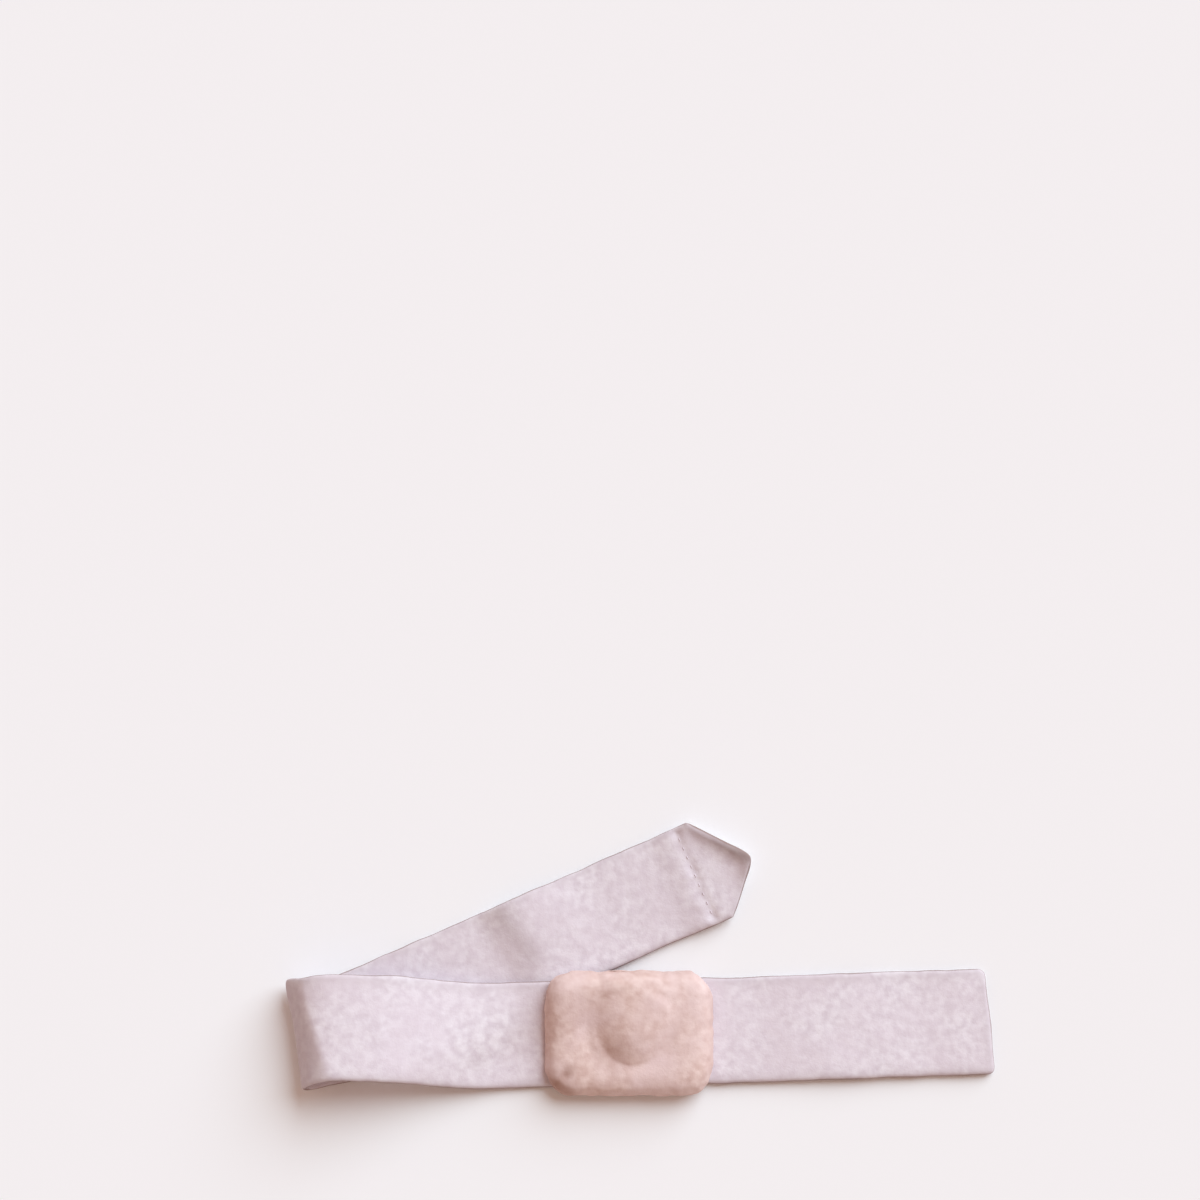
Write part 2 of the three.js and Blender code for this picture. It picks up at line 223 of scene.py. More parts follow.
@dataclass(frozen=True)
class TapeFinish:
    """Woven nylon hook tape: a fine ribbed ground, slightly glossy because the nylon is drawn thread."""

    name: str
    thread_hex: str
    gap_hex: str
    thread_mm: float = 0.5  # a real one is 0.3 mm, drawn coarser so that the ribs show

    def make(self) -> bpy.types.Material:
        """Builds the material.

        Returns:
            The finished material, with ribs across the tape.
        """
        material, tree = blank_material(self.name)
        place = add_node(tree, "ShaderNodeTexCoord", {}).outputs["Object"]
        turned = add_node(
            tree, "ShaderNodeVectorRotate", {"Vector": place, "Angle": -TAIL_TURN}, rotation_type="Z_AXIS"
        )
        # One wave of the texture is 2 pi / 20 of a unit at a scale of one.
        scale = math.tau / 20 / (self.thread_mm * MM)
        ribs = add_node(
            tree, "ShaderNodeTexWave", {"Vector": turned.outputs[0], "Scale": scale, "Distortion": 0.4}
        ).outputs["Fac"]
        inputs = {"Factor": ribs, 6: linear(self.gap_hex), 7: linear(self.thread_hex)}
        colour = add_node(tree, "ShaderNodeMix", inputs, data_type="RGBA")
        bump = add_node(tree, "ShaderNodeBump", {"Height": ribs, "Strength": 0.6, "Distance": 0.1 * MM})
        nylon = add_node(
            tree,
            "ShaderNodeBsdfPrincipled",
            {
                "Base Color": colour.outputs[2],
                "Roughness": 0.5,
                "IOR": 1.53,
                "Specular IOR Level": 0.4,
                "Normal": bump.outputs[0],
            },
        )
        add_node(tree, "ShaderNodeOutputMaterial", {"Surface": nylon.outputs[0]})
        return material


@dataclass(frozen=True)
class ThreadFinish:
    """Spun polyester sewing thread, twisted: a slight lustre broken by its twist."""

    name: str
    thread_hex: str
    twist_mm: float = 0.6  # the length of thread that one turn takes

    def make(self) -> bpy.types.Material:
        """Builds the material.

        Returns:
            The finished material.
        """
        material, tree = blank_material(self.name)
        place = add_node(tree, "ShaderNodeTexCoord", {}).outputs["Object"]
        inputs = {"Vector": place, "Scale": 1 / (self.twist_mm * MM), "Detail": 2.0}
        twist = add_node(tree, "ShaderNodeTexNoise", inputs)
        bump = add_node(
            tree, "ShaderNodeBump", {"Height": twist.outputs[0], "Strength": 0.5, "Distance": 0.06 * MM}
        )
        thread = add_node(
            tree,
            "ShaderNodeBsdfPrincipled",
            {
                "Base Color": linear(self.thread_hex),
                "Roughness": 0.62,
                "IOR": 1.5,
                "Sheen Weight": 0.15,
                "Normal": bump.outputs[0],
            },
        )
        add_node(tree, "ShaderNodeOutputMaterial", {"Surface": thread.outputs[0]})
        return material


@dataclass(frozen=True)
class SweepFinish:
    """Painted matt board for the floor: one even pale tone."""

    name: str
    board_hex: str

    def make(self) -> bpy.types.Material:
        """Builds the material.

        Returns:
            The finished material.
        """
        material, tree = blank_material(self.name)
        inputs = {"Base Color": linear(self.board_hex), "Roughness": 0.9, "Specular IOR Level": 0.1}
        board = add_node(tree, "ShaderNodeBsdfPrincipled", inputs)
        add_node(tree, "ShaderNodeOutputMaterial", {"Surface": board.outputs[0]})
        return material


BRUSHED_LOOP_PILE = PileFinish(
    name="brushed_loop_polyester",
    tip_hex="#eee6eb",
    root_hex="#dcd0d7",
    cloud_hex="#e2d5dc",
    # painted shade on the fold, crease and lip, and the cut edges' darker tone
    shade_and_edge_hex="#7f6154",
    tuft_mm=3.3,
    fibre_mm=1.1,
    cloud_mm=20.0,
    fibre_height_mm=0.22,
    sheen=0.1,
    sheen_hex="#f4e9ee",
)
FELTED_PLUSH = PileFinish(
    name="felted_plush_polyester",
    tip_hex="#ebd2ca",
    root_hex="#d8bab1",
    cloud_hex="#e4cbc8",
    # painted shade on the pad's puckers, boss and rim
    shade_and_edge_hex="#a9806f",
    tuft_mm=3.3,
    fibre_mm=1.0,
    cloud_mm=14.0,
    fibre_height_mm=0.25,
    sheen=0.2,
    sheen_hex="#f6e4dd",
)
HOOK_TAPE = TapeFinish(name="woven_nylon_hook_tape", thread_hex="#f0edec", gap_hex="#cfcbca")
SEWING_THREAD = ThreadFinish(name="spun_polyester_thread", thread_hex="#dccfd6")
PALE_BOARD = SweepFinish(name="painted_matt_board", board_hex="#f7f6f6")


def smooth(value: np.ndarray | float, low: float, high: float) -> np.ndarray:
    """Rises smoothly from 0 at low to 1 at high."""
    share = np.clip((np.asarray(value) - low) / (high - low), 0.0, 1.0)
    return share * share * (3 - 2 * share)


def fading(distance: np.ndarray, width: float) -> np.ndarray:
    """Falls softly from 1 at no distance to about a third at one width."""
    return np.exp(-((distance / width) ** 2))


def link_mesh(name: str, mesh: bpy.types.Mesh) -> bpy.types.Object:
    """Puts a mesh into the scene as a new object at the origin.

    Args:
        name: The new object's name.
        mesh: The mesh.

    Returns:
        The new object.
    """
    piece = bpy.data.objects.new(name, mesh)
    bpy.context.scene.collection.objects.link(piece)
    return piece


def mesh_from(
    name: str, vertices: Sequence[Sequence[float]], faces: Sequence[Sequence[int]]
) -> bpy.types.Object:
    """Makes an object from plain lists.

    Args:
        name: The new object's name.
        vertices: Its points, in metres.
        faces: The numbers of each face's points.

    Returns:
        The new object.
    """
    mesh = bpy.data.meshes.new(name)
    mesh.from_pydata([tuple(v) for v in vertices], [], [tuple(f) for f in faces])
    mesh.update()
    return link_mesh(name, mesh)


def copy_of_node(node: str, name: str) -> bpy.types.Object:
    """Copies a CAD node's mesh into a new object, with its triangles paired into quads.

    Args:
        node: The CAD node.
        name: The new object's name.

    Returns:
        The new object, with no material.
    """
    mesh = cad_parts[node].data.copy()
    mesh.materials.clear()
    facet_normals = mesh.attributes.get("custom_normal")
    if facet_normals is not None:
        mesh.attributes.remove(facet_normals)
    work = bmesh.new()
    work.from_mesh(mesh)
    bmesh.ops.remove_doubles(work, verts=work.verts, dist=0.0005 * MM)
    bmesh.ops.join_triangles(
        work, faces=work.faces, angle_face_threshold=math.radians(50), angle_shape_threshold=math.pi
    )
    work.to_mesh(mesh)
    work.free()
    return link_mesh(name, mesh)


def bake_modifiers(piece: bpy.types.Object) -> None:
    """Applies everything that is stacked on an object to its mesh.

    Args:
        piece: The object.
    """
    graph = bpy.context.evaluated_depsgraph_get()
    mesh = bpy.data.meshes.new_from_object(piece.evaluated_get(graph))
    piece.modifiers.clear()
    piece.data = mesh


def subdivide(piece: bpy.types.Object, levels: int) -> None:
    """Refines an object as a smooth surface.

    Args:
        piece: The object.
        levels: How many times each face is divided.
    """
    modifier = piece.modifiers.new("refine", "SUBSURF")
    modifier.levels = modifier.render_levels = levels
    bake_modifiers(piece)


def read_vectors(mesh: bpy.types.Mesh, kind: str) -> np.ndarray:
    """Reads one vector at every vertex of a mesh.

    Args:
        mesh: The mesh.
        kind: The vertex property, co or normal.

    Returns:
        The vectors, one row each.
    """
    flat = np.empty(len(mesh.vertices) * 3)
    mesh.vertices.foreach_get(kind, flat)
    return flat.reshape(-1, 3)


def points_of(mesh: bpy.types.Mesh) -> np.ndarray:
    """Every vertex of a mesh, one row each, in metres."""
    return read_vectors(mesh, "co")


def normals_of(mesh: bpy.types.Mesh) -> np.ndarray:
    """The outward direction at every vertex of a mesh."""
    return read_vectors(mesh, "normal")


def place_points(mesh: bpy.types.Mesh, points: np.ndarray) -> None:
    """Moves every vertex of a mesh to a new place."""
    mesh.vertices.foreach_set("co", points.reshape(-1))
    mesh.update()


def soft_noise(points: np.ndarray, size_mm: float, seed: float) -> np.ndarray:
    """Gives each point a smooth random value.

    Args:
        points: The points, in metres.
        size_mm: How wide the blobs of the pattern are, about.
        seed: Which pattern of that size it is.

    Returns:
        A value from about -1 to 1 for each point.
    """
    frequency = 1 / (size_mm * MM)
    shift = Vector((seed, seed * 0.37, seed * 0.71))
    return np.array([noise.noise(Vector(point) * frequency + shift) for point in points])


def raise_pile(mesh: bpy.types.Mesh, relief: Relief, seed: float) -> None:
    """Gives a cloth face its tufts and soft unevenness, as real relief.

    Args:
        mesh: The cloth.
        relief: The sizes and heights of its tufts.
        seed: Which pattern of tufts it is.
    """
    points = points_of(mesh)
    height = np.zeros(len(points))
    for step, (size_mm, height_mm) in enumerate(relief.value):
        height += height_mm * MM * soft_noise(points, size_mm, seed + 13.1 * step)
    place_points(mesh, points + normals_of(mesh) * height[:, None])


def wander_outline(mesh: bpy.types.Mesh, size_mm: float, height: float, seed: float) -> None:
    """Keeps a cloth's outline from being dead even, by moving its sides in and out.

    Args:
        mesh: The cloth.
        size_mm: How long one swing of the outline is, about.
        height: How far the sides move, in metres.
        seed: Which pattern of swings it is.
    """
    points = points_of(mesh)
    flatwise = normals_of(mesh) * [1.0, 1.0, 0.0]
    wander = soft_noise(points * [1.0, 1.0, 0.0], size_mm, seed) * height
    place_points(mesh, points + flatwise * wander[:, None])


def soften(mesh: bpy.types.Mesh, shares: np.ndarray, passes: int) -> np.ndarray:
    """Averages one value at each vertex with its neighbours'.

    Args:
        mesh: The mesh.
        shares: The value at each vertex.
        passes: How many times they are averaged.

    Returns:
        The softened values.
    """
    ends = np.empty(len(mesh.edges) * 2, dtype=np.int64)
    mesh.edges.foreach_get("vertices", ends)
    one, other = ends.reshape(-1, 2).T
    count = len(shares)
    neighbours = np.bincount(one, minlength=count) + np.bincount(other, minlength=count)
    for _ in range(passes):
        total = np.bincount(one, shares[other], count) + np.bincount(other, shares[one], count)
        shares = (shares + total) / (1 + neighbours)
    return shares


def distance_to_line(points: np.ndarray, corners: np.ndarray) -> np.ndarray:
    """Measures how far each point lies from a line with corners, seen from above.

    Args:
        points: The points.
        corners: The line's corners, each a place seen from above.

    Returns:
        The distance from each point.
    """
    nearest = np.full(len(points), np.inf)
    for start, end in zip(corners[:-1], corners[1:]):
        run = end - start
        share = np.clip(((points[:, :2] - start) @ run) / (run @ run), 0.0, 1.0)
        gap = np.linalg.norm(points[:, :2] - (start + share[:, None] * run), axis=1)
        nearest = np.minimum(nearest, gap)
    return nearest


def distance_to_place(points: np.ndarray, place: np.ndarray) -> np.ndarray:
    """How far each point lies from one place, seen from above."""
    return np.linalg.norm(points[:, :2] - place, axis=1)


def distance_to_points(points: np.ndarray, others: np.ndarray) -> np.ndarray:
    """Measures how far each point lies from the nearest of some others.

    Args:
        points: The points.
        others: The points to measure to.

    Returns:
        The distance from each point.
    """
    tree = KDTree(len(others))
    for index, other in enumerate(others):
        tree.insert(Vector(other), index)
    tree.balance()
    return np.array([tree.find(Vector(point))[2] for point in points])


def mark_shade_and_edge(mesh: bpy.types.Mesh, shares: np.ndarray) -> None:
    """Keeps each vertex's share of painted shade, and of the strap's darker cut-edge tone, from 0 to 1, for
    the finish.
    """
    layer = mesh.attributes.new(SHADE_AND_EDGE_LAYER, "FLOAT", "POINT")
    layer.data.foreach_set("value", shares.astype(np.float32))


def dress(
    piece: bpy.types.Object,
    finish: PileFinish | TapeFinish | ThreadFinish,
    nodes: Iterable[str] = (),
) -> None:
    """Gives a piece its finish, its body and the CAD nodes that it stands for.

    Args:
        piece: The piece.
        finish: What it is made of.
        nodes: CAD nodes that the piece replaces.
    """
    material = bpy.data.materials.get(finish.name) or finish.make()
    piece.data.materials.clear()
    piece.data.materials.append(material)
    piece.data.polygons.foreach_set("use_smooth", [True] * len(piece.data.polygons))
    piece.data.update()
    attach(piece, ROOT)
    for node in nodes:
        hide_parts(node)
    LOG.info("%s: %d faces in %s", piece.name, len(piece.data.polygons), finish.name)


@dataclass
class ThreadBundle:
    """Short bent threads or wires, each a closed tube, gathered into one mesh."""

    vertices: list[np.ndarray] = field(default_factory=list)
    faces: list[tuple[int, ...]] = field(default_factory=list)

    def add(self, rings: Sequence[Sequence[np.ndarray]]) -> None:
        """Adds one tube and closes its ends.

        Args:
            rings: The rings of points along it, all with as many points.
        """
        first = len(self.vertices)
        sides = len(rings[0])
        last = first + (len(rings) - 1) * sides
        self.vertices.extend(point for ring in rings for point in ring)
        for start in range(first, last, sides):
            for corner in range(sides):
                a, b = start + corner, start + (corner + 1) % sides
                self.faces.append((a, b, b + sides, a + sides))
        self.faces.append(tuple(first + corner for corner in reversed(range(sides))))
        self.faces.append(tuple(last + corner for corner in range(sides)))

    def piece(self, name: str) -> bpy.types.Object:
        """Makes the gathered tubes into one object whose faces all look outward.

        Args:
            name: The new object's name.

        Returns:
            The new object.
        """
        piece = mesh_from(name, self.vertices, self.faces)
        work = bmesh.new()
        work.from_mesh(piece.data)
        bmesh.ops.recalc_face_normals(work, faces=work.faces)
        work.to_mesh(piece.data)
        work.free()
        return piece


@dataclass(frozen=True)
class TipAxes:
    """The tail's tip, as the hook patch's own outline gives it."""

    apex: np.ndarray  # on the tip's middle line, as far out as the patch's point
    back: np.ndarray  # the direction from the tip along the tail
    side: np.ndarray
    skew: float  # from the middle line to the patch's point
    shoulder: float  # from the point back to the patch's shoulders
    inner: float  # from the point back to the patch's straight inner edge
    half: float  # half of the patch's width

    @classmethod
    def from_frame(cls) -> "TipAxes":
        """Reads the tip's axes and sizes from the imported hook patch.

        Returns:
            The axes and sizes.
        """
        points = points_of(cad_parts["hook_patch"].data)[:, :2]
        back = -np.array([math.cos(TAIL_TURN), math.sin(TAIL_TURN)])
        side = np.array([-math.sin(TAIL_TURN), math.cos(TAIL_TURN)])
        across = points @ side
        middle = (across.min() + across.max()) / 2
        half = (across.max() - across.min()) / 2
        along = points @ back
        apex = back * along.min() + side * middle
        on_side = np.abs(across - middle) > half * 0.99
        shoulder = along[on_side].min() - along.min()
        skew = across[along.argmin()] - middle
        return cls(apex, back, side, skew, shoulder, along.max() - along.min(), half)

    def at(self, back: float, across: float) -> np.ndarray:
        """The place, seen from above, of a distance back from the point and one across."""
        return self.apex + self.back * back + self.side * across

    def seam(self, inset: float) -> np.ndarray:
        """Finds the closed line that the patch is sewn along.

        Args:
            inset: How far inside the patch's edge it runs.

        Returns:
            Its corners: the point, a shoulder, the two inner corners, the other shoulder and the point.
        """
        half = self.half - inset
        point = (inset * 1.4, self.skew)  # the edges slant here, so the corners lie further in
        shoulder = self.shoulder + inset * 0.4
        inner = self.inner - inset
        corners = [point, (shoulder, half), (inner, half), (inner, -half), (shoulder, -half), point]
        return np.array([self.at(*corner) for corner in corners])

    def inner_row(self, inset: float) -> np.ndarray:
        """The seam's straight run across the strap, the only one that shows from above."""
        return self.seam(inset)[2:4]


@dataclass
class Strap:
    """The strap: foam laminate with brushed pile, cut 40 mm wide and folded under at one end."""

    tip: TipAxes
    levels: int = 2
    thickness: float = 3 * MM
    fold_turn: float = 7 * MM  # how much further right the fold ends at its end away from the tail
    fold_sag: float = 4.4 * MM
    fold_bend: float = 0.3  # share of the steep face over which it turns down from the crest
    fold_face: float = 8.5 * MM  # how far in from the fold's end its steep face reaches
    fold_spread: float = 4 * MM  # how much further in it reaches away from the tail
    fold_flare: float = 2 * MM  # how much each of its corners stands out sideways
    fold_upper: float = 0.8  # share of the height over which the sag grows to its full depth
    wave_height: float = 0.8 * MM
    wave_length: float = 74 * MM
    wave_slant: float = 0.25
    wave_fade_in: float = 25 * MM  # beside the pad
    wave_fade_out: float = 20 * MM  # at the square end
    seam_inset: float = 1.3 * MM
    groove_depth: float = 0.1 * MM
    groove_width: float = 1.6 * MM
    dimple_depth: float = 0.6 * MM
    dimple_width: float = 1.7 * MM
    dimple_pitch: float = 3.8 * MM
    dimple_change: float = 0.45  # share by which the dimples' depths differ
    dimple_beat: float = 5.1  # radians from one to the next, so that their depths don't repeat
    pucker_height: float = 0.35 * MM
    pucker_mm: float = 5.0
    pucker_reach: float = 5 * MM
    edge_wander: float = 0.28 * MM
    edge_wander_mm: float = 9.0
    cut_depths: tuple[float, float] = (1.04, 1.35)  # in thicknesses: deeper cloth lies behind a cut edge
    # darker cut edges: partly the laminate's own cut edge, partly painted shade that dulls rounded edges
    # facing the light
    edge_tone_and_shade: float = 0.85
    # painted shade within a few mm of every cut edge, also on cloth lying beside one
    edge_shade: float = 0.2
    edge_reach: float = 3 * MM
    # painted shade on the fold's steep face, which faces away from the key light
    fold_shade: float = 0.2
    # painted shade along the crease on the tail, where a ripple's flank faces away from the light
    crease: tuple[tuple[float, float], ...] = ((-55 * MM, 20 * MM), (-40 * MM, 2.4 * MM))
    crease_shade: float = 0.16
    crease_width: float = 4.2 * MM
    # darkens the tail's whole face a little
    tail_darkening: float = 0.06
    margin: float = 2.2 * MM  # from the patch's edge to the tip's
    lip_width: float = 4.7 * MM
    # painted shade along the tip's curled lip, which faces away from the light
    lip_shade: float = 0.95

    def build(self) -> bpy.types.Object:
        """Builds the strap over its CAD solid.

        Returns:
            The strap, dressed.
        """
        piece = copy_of_node("belt_strap", "strap_cloth")
        subdivide(piece, self.levels)
        self._lean_fold(piece.data)
        self._lay_waves(piece.data)
        self._sink_seam(piece.data)
        wander_outline(piece.data, self.edge_wander_mm, self.edge_wander, seed=41.0)
        raise_pile(piece.data, Relief.BRUSHED_LOOP, seed=3.0)
        mark_shade_and_edge(piece.data, self._shade_and_edge_tone(piece))
        dress(piece, BRUSHED_LOOP_PILE, ["belt_strap"])
        return piece

    def _lean_fold(self, mesh: bpy.types.Mesh) -> None:
        """Turns the fold's rounded end into a steep face under a soft crest, as a loose loop hangs.

        Args:
            mesh: The strap.
        """
        points = points_of(mesh)
        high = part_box("belt_strap")[1]
        slack, away = self._fold_slack(points)
        bend = self.fold_bend
        eased = np.where(slack < bend, slack * slack / (2 * bend), slack - bend / 2)
        upper = smooth(points[:, 2], 0.0, self.fold_upper * high[2])
        points[:, 2] -= self.fold_sag / (1 - bend / 2) * eased * upper
        points[:, 1] += self.fold_flare * (1 - 2 * away) * eased
        place_points(mesh, points)

    def _fold_slack(self, points: np.ndarray) -> tuple[np.ndarray, np.ndarray]:
        """Measures where each point lies on the fold's steep face.

        Args:
            points: The strap's points.

        Returns:
            How far out on the face each point lies, and how far away from the tail, both from 0 to 1.
        """
        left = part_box("belt_strap")[0].x
        span = points[points[:, 0] < left + 2 * self.fold_face, 1]
        away = 1 - smooth(points[:, 1], span.min(), span.min() + STRAP_WIDTH)
        inward = (points[:, 0] - left - self.fold_turn * away) / (self.fold_face + self.fold_spread * away)
        return 1 - np.clip(inward, 0.0, 1.0), away

    def _lay_waves(self, mesh: bpy.types.Mesh) -> None:
        """Lets the flat run to the right of the pad lie a little unevenly.

        Args:
            mesh: The strap.
        """
        points = points_of(mesh)
        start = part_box("pad")[1].x
        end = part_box("belt_strap")[1].x
        past_pad = smooth(points[:, 0], start, start + self.wave_fade_in)
        before_end = 1 - smooth(points[:, 0], end - self.wave_fade_out, end)
        phase = (points[:, 0] - start + self.wave_slant * points[:, 1]) / self.wave_length * math.tau
        points[:, 2] += self.wave_height * (past_pad * before_end) * (0.5 - 0.5 * np.cos(phase))
        place_points(mesh, points)

    def _sink_seam(self, mesh: bpy.types.Mesh) -> None:
        """Pulls the upper face down along the patch's inner seam, deepest at each stitch.

        Args:
            mesh: The strap.
        """
        points = points_of(mesh)
        start, end = self.tip.inner_row(self.seam_inset)
        length = float(np.linalg.norm(end - start))
        gap = distance_to_line(points, np.array([start, end]))
        sink = self.groove_depth * fading(gap, self.groove_width)
        for step in range(round(length / self.dimple_pitch) + 1):
            middle = start + (end - start) * min(1.0, step * self.dimple_pitch / length)
            depth = self.dimple_depth * (1 + self.dimple_change * math.sin(self.dimple_beat * step))
            sink += depth * fading(distance_to_place(points, middle), self.dimple_width)
        pucker = soft_noise(points, self.pucker_mm, seed=17.0)
        sink += self.pucker_height * pucker * fading(gap, self.pucker_reach)
        faces_up = smooth(normals_of(mesh)[:, 2], 0.2, 0.7)
        points[:, 2] -= sink * faces_up
        place_points(mesh, points)

    def _shade_and_edge_tone(self, piece: bpy.types.Object) -> np.ndarray:
        """Finds where the pile's colour is darkened: the cut edges, partly by their own darker tone and
        partly by painted shade; painted shade just beside them; and the fold, crease, tail and lip.

        Args:
            piece: The strap.

        Returns:
            A share from 0 to 1 for each vertex.
        """
        points = points_of(piece.data)
        normals = normals_of(piece.data)
        # painted shade and the cut edges' darker tone, as shares for the finish
        cut = self._cut_shares(piece, points, normals)
        near_cut = fading(distance_to_points(points, points[cut > 0.5]), self.edge_reach)
        edge = np.maximum(self.edge_tone_and_shade * cut, self.edge_shade * near_cut)
        face = np.maximum(self._shade_on_fold_crease_and_tail(points, normals), self._shade_on_lip(points, normals))
        return np.maximum(edge, face)

    def _cut_shares(self, piece: bpy.types.Object, points: np.ndarray, normals: np.ndarray) -> np.ndarray:
        """Finds the cut edge: seen from there, the cloth behind is far thicker than on its faces.

        Args:
            piece: The strap.
            points: Its points.
            normals: The outward direction at each.

        Returns:
            A share from 0, on a face, to 1, on the cut edge, for each vertex.
        """
        tree = BVHTree.FromObject(piece, bpy.context.evaluated_depsgraph_get())
        depths = np.zeros(len(points))
        for index, (point, normal) in enumerate(zip(points, normals)):
            inward = Vector(-normal)
            hit = tree.ray_cast(Vector(point) + inward * 0.05 * MM, inward)
            depths[index] = hit[3] if hit[0] is not None else 0.0
        low, high = (self.thickness * depth for depth in self.cut_depths)
        return soften(piece.data, smooth(depths, low, high), 2)

    def _shade_on_fold_crease_and_tail(self, points: np.ndarray, normals: np.ndarray) -> np.ndarray:
        """Finds the painted shade on the fold's steep face and along the crease, and the slight darkening of
        the tail's face.

        Args:
            points: The strap's points.
            normals: The outward direction at each.

        Returns:
            How much painted shade or darkening each point gets.
        """
        on_tail = smooth(points[:, 1], *TAIL_FACE)
        fold = self.fold_shade * smooth(self._fold_slack(points)[0], 0.0, 0.5)
        crease = self.crease_shade * fading(distance_to_line(points, np.array(self.crease)), self.crease_width)
        return np.maximum(fold, (crease + self.tail_darkening) * on_tail) * smooth(normals[:, 2], -0.2, 0.1)

    def _shade_on_lip(self, points: np.ndarray, normals: np.ndarray) -> np.ndarray:
        """Finds the curled lip of the tip, where shade is painted along its edge.

        Args:
            points: The strap's points.
            normals: The outward direction at each.

        Returns:
            How much painted shade each point gets.
        """
        apex, shoulder = self.tip.seam(-self.margin)[:2]
        run = shoulder - apex
        along = np.clip(((points[:, :2] - apex) @ run) / (run @ run), 0.0, 1.0)
        gap = distance_to_line(points, np.array([apex, shoulder]))
        lip_darkness = self.lip_shade * (1 - 0.5 * along) * fading(gap, self.lip_width)
        return lip_darkness * smooth(normals[:, 2], -0.7, -0.2)


@dataclass
class Pad:
    """The pelotte: a foam cushion with a firm button, both under one cover of felted plush."""

    voxel: float = 2.0 * MM
    undersize: float = 0.7 * MM
    swell_cap: float = 0.9 * MM
    button_edge: tuple[float, float] = (0.8, 1.3)  # in boss radii: the cover is held within, and free beyond
    pressure: float = 4.0
    frames: int = 20
    levels: int = 2
    boss_offset: tuple[float, float] = (1.2 * MM, 0.9 * MM)
    boss_radius: float = 12.7 * MM
    boss_stretch: float = 12 * MM  # how much further its foot runs out on the gentle side
    boss_share: float = 0.9  # of the height that the model gives it
    boss_foot: float = 0.08  # how softly its foot meets the cushion on the steep side
    boss_foot_growth: float = 5.0  # how many times that is added on the gentle side
    boss_clearing: float = 1.1  # in boss radii: the cover is laid flat within it before the boss is set
    clearing_fade: float = 4 * MM
    clearing_ring: float = 5 * MM  # the ring past it from which the flat cover is worked out
    gentle_turn: float = math.radians(72)
    fullness: float = 1.3 * MM  # how far the near side bulges past the model
    corner_radius: float = 11.5 * MM
    pit_place: tuple[float, float] = (5.2 * MM, 4.4 * MM)  # from the corner's outline, as the next two are
    tuck_place: tuple[float, float] = (0.6 * MM, 0.4 * MM)
    gather_places: tuple[tuple[float, float], ...] = ((-1.6 * MM, 3.0 * MM), (7.0 * MM, -2.4 * MM))
    pucker_depth: float = 1.1 * MM
    pucker_width: float = 2.6 * MM
    pit_share: float = 0.8  # of that depth
    tuck_share: float = 0.5
    # painted shade in the pucker's pit and tuck, and round the gathers
    sunk_shade: float = 0.35
    gather_shade: float = 0.6
    # painted shade on the boss's slope that faces the light, to damp its brightness
    lit_slope_offset: float = 8 * MM
    lit_slope_radius: float = 11 * MM
    lit_slope_turn: float = math.radians(45)
    lit_slope_shade: float = 0.1
    # painted shade in the crescent at the boss's foot, on its shaded side
    foot_shade: float = 0.26
    foot_offset: float = 0.8  # in boss radii, on the side away from the lit slope
    foot_radius: float = 0.5  # in boss radii
    # painted shade along the far rim, which faces the light
    rim_shade: float = 0.3
    rim_width: float = 4 * MM
    rim_start: float = 8 * MM  # from the pad's left and near sides to where the shaded rim starts
    outline_tufts: float = 0.5 * MM
    outline_tufts_mm: float = 3.6

    def build(self) -> bpy.types.Object:
        """Builds the pad over its CAD solid.

        Returns:
            The pad, dressed.
        """
        piece = copy_of_node("pad", "pelotte_cushion")
        self._remesh(piece)
        self._inflate(piece)
        subdivide(piece, self.levels)
        self._set_boss(piece.data)
        self._fill_near_side(piece.data)
        self._gather_corner(piece.data)
        wander_outline(piece.data, self.outline_tufts_mm, self.outline_tufts, seed=29.0)
        raise_pile(piece.data, Relief.FELTED_PLUSH, seed=71.0)
        dress(piece, FELTED_PLUSH, ["pad"])
        return piece

    def _remesh(self, piece: bpy.types.Object) -> None:
        """Divides the solid evenly, so that the cover can move.

        Args:
            piece: The pad.
        """
        modifier = piece.modifiers.new("even", "REMESH")
        modifier.mode = "VOXEL"
        modifier.voxel_size = self.voxel
        bake_modifiers(piece)

    def _inflate(self, piece: bpy.types.Object) -> None:
        """Swells the cover from inside as cloth, held by its seam beneath and by the button.

        Args:
            piece: The pad, with its full size.
        """
        mesh = piece.data
        full = points_of(mesh)
        from_boss = distance_to_place(full, self._boss_middle())
        underneath = smooth(-normals_of(mesh)[:, 2], 0.1, 0.6)
        button = 1 - smooth(from_boss, *(self.boss_radius * share for share in self.button_edge))
        held = np.maximum(underneath, button)
        start = full - normals_of(mesh) * self.undersize * (1 - held)[:, None]
        place_points(mesh, start)

        group = piece.vertex_groups.new(name="held")
        for index, weight in enumerate(held):
            group.add([index], float(weight), "REPLACE")
        cloth = piece.modifiers.new("swell", "CLOTH")
        cloth.settings.quality = 6
        cloth.settings.mass = 0.3
        cloth.settings.use_pressure = True
        cloth.settings.uniform_pressure_force = self.pressure
        cloth.settings.effector_weights.gravity = 0.0
        cloth.settings.vertex_group_mass = group.name
        cloth.point_cache.frame_start = 1
        cloth.point_cache.frame_end = self.frames
        for step in range(1, self.frames + 1):
            bpy.context.scene.frame_set(step)
        bake_modifiers(piece)
        bpy.context.scene.frame_set(1)

        moved = points_of(piece.data) - full
        travel = np.linalg.norm(moved, axis=1)
        limit = np.minimum(1.0, self.swell_cap / np.maximum(travel, 1e-9))
        place_points(piece.data, full + moved * limit[:, None])
        piece.vertex_groups.clear()
        LOG.info("pelotte_cushion: swelled by up to %.1f mm", travel.max() / MM)

